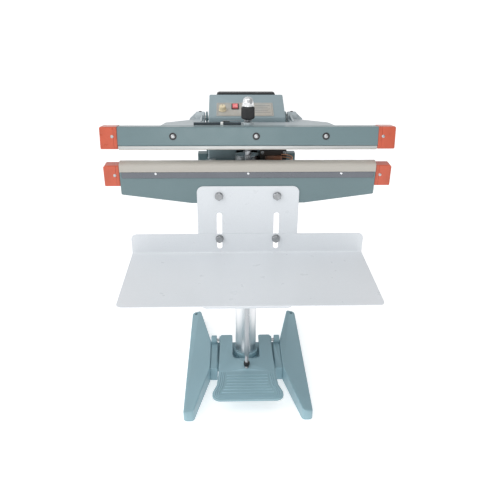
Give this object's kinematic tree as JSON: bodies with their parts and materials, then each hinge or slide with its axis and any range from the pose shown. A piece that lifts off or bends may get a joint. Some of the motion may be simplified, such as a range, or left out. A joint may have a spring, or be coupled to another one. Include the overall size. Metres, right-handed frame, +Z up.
{
  "type": "impulse heat sealer",
  "caption": "Pedestal impulse heat sealer with a foot pedal, two long sealing jaws, a height-adjustable product table and a timer box.",
  "frame": {"origin": "centre of the column's axis on the floor, on the underside of the base", "axes": "+Z up, -Y towards the operator, +X to the operator's right along the jaws"},
  "size_m": [0.73, 0.61, 0.8446],
  "materials": {
    "grey_blue_paint": "semi-gloss hammered enamel",
    "light_grey_casting": "cast and painted light grey",
    "white_paint": "gloss white powder coat",
    "chrome": "polished chrome plate",
    "steel": "bright zinc and ground steel",
    "dark_steel": "dark polished strip steel",
    "orange_caps": "moulded end caps",
    "black_plastic": "moulded",
    "release_cloth": "coated release cloth, satin",
    "silicone": "matt silicone",
    "heating_alloy": "flat heating ribbon",
    "label_plate": "printed film",
    "cream_knob": "moulded",
    "red_rocker": "translucent red",
    "winding": "enamelled wire under tape",
    "core_steel": "varnished laminations",
    "circuit_board": "solder resist"
  },
  "bodies": {
    "stand": {"left_leg": "grey_blue_paint", "right_leg": "grey_blue_paint", "base_hub": "grey_blue_paint", "column": "chrome", "column_cap": "chrome", "pedal_pin_left": "steel", "pedal_pin_right": "steel", "return_spring": "steel", "lower_beam": "grey_blue_paint", "lower_apron": "grey_blue_paint", "lower_cap_left": "orange_caps", "lower_cap_right": "orange_caps", "element_base": "release_cloth", "heating_ribbon": "heating_alloy", "release_cover": "release_cloth", "front_strip": "dark_steel", "rear_strip": "dark_steel", "table_bracket": "white_paint", "bracket_bolt_left": "steel", "bracket_bolt_right": "steel", "bracket_nut_left": "steel", "bracket_nut_right": "steel", "head_frame": "grey_blue_paint", "pivot_shaft": "steel", "riser_bolt": "steel", "box_shell": "grey_blue_paint", "rear_cover": "black_plastic", "cable_gland": "black_plastic", "control_panel": "label_plate", "switch_bezel": "black_plastic", "timer_body": "steel", "transformer_core": "core_steel", "transformer_winding": "winding", "timer_board": "circuit_board"},
    "upper_jaw": {"upper_bar": "grey_blue_paint", "upper_cap_left": "orange_caps", "upper_cap_right": "orange_caps", "pad_holder": "steel", "silicone_pad": "silicone", "bar_screw_1": "steel", "bar_screw_2": "steel", "bar_screw_3": "steel", "jaw_carrier": "light_grey_casting", "switch_cable": "black_plastic", "microswitch": "black_plastic"},
    "pull_rod": {"pull_rod": "steel", "rod_ball_nut": "black_plastic", "rod_lower_nut": "steel", "dome_nut": "chrome", "pressure_spring": "steel"},
    "table": {"table": "white_paint", "table_bolt_left": "steel", "table_bolt_right": "steel", "table_nut_left": "steel", "table_nut_right": "steel"},
    "pedal": {"pedal": "grey_blue_paint"},
    "pressure_knob": {"pressure_knob": "black_plastic"},
    "timer_knob": {"timer_knob": "cream_knob"},
    "power_rocker": {"power_rocker": "red_rocker"},
    "switch_lever": {"switch_lever": "steel"}
  },
  "joints": [
    {"name": "jaw_hinge", "type": "hinge", "parent": "stand", "child": "upper_jaw", "pos_m": [0, 0.115, 0.752], "axis": [1, 0, 0], "range_deg": [0, 8.5], "stiffness_Nm_per_rad": 40, "springref_deg": -40.11, "deforming": ["return_spring"]},
    {"name": "rod_slide", "type": "slide", "parent": "stand", "child": "pull_rod", "axis": [0, -0.0944, -0.9955], "range_m": [0, 0.0248]},
    {"name": "pedal_hinge", "type": "hinge", "parent": "stand", "child": "pedal", "pos_m": [0, 0.035, 0.05], "axis": [1, 0, 0], "range_deg": [0, 9.3]},
    {"name": "table_height", "type": "slide", "parent": "stand", "child": "table", "axis": [0, 0, 1], "range_m": [-0.145, 0.065]},
    {"name": "pressure_knob_turn", "type": "hinge", "parent": "pull_rod", "child": "pressure_knob", "pos_m": [0, -0.045, 0.8105], "axis": [0, 0.0944, 0.9955], "continuous": true},
    {"name": "timer_knob_turn", "type": "hinge", "parent": "stand", "child": "timer_knob", "pos_m": [-0.065, 0.04847, 0.78879], "axis": [0, -0.306, 0.952], "range_deg": [-270, 0]},
    {"name": "rocker_tilt", "type": "hinge", "parent": "stand", "child": "power_rocker", "pos_m": [-0.031, 0.06434, 0.79495], "axis": [1, 0, 0], "range_deg": [0, 12]},
    {"name": "switch_lever_press", "type": "hinge", "parent": "upper_jaw", "child": "switch_lever", "pos_m": [-0.062, -0.03995, 0.78416], "axis": [0, 1, 0], "range_deg": [-3, 1], "stiffness_Nm_per_rad": 0.05}
  ],
  "couplings": [
    {"joint": "rod_slide", "follows": "jaw_hinge", "m_per_rad": 0.16508},
    {"joint": "pedal_hinge", "follows": "jaw_hinge", "ratio": 1.07}
  ]
}
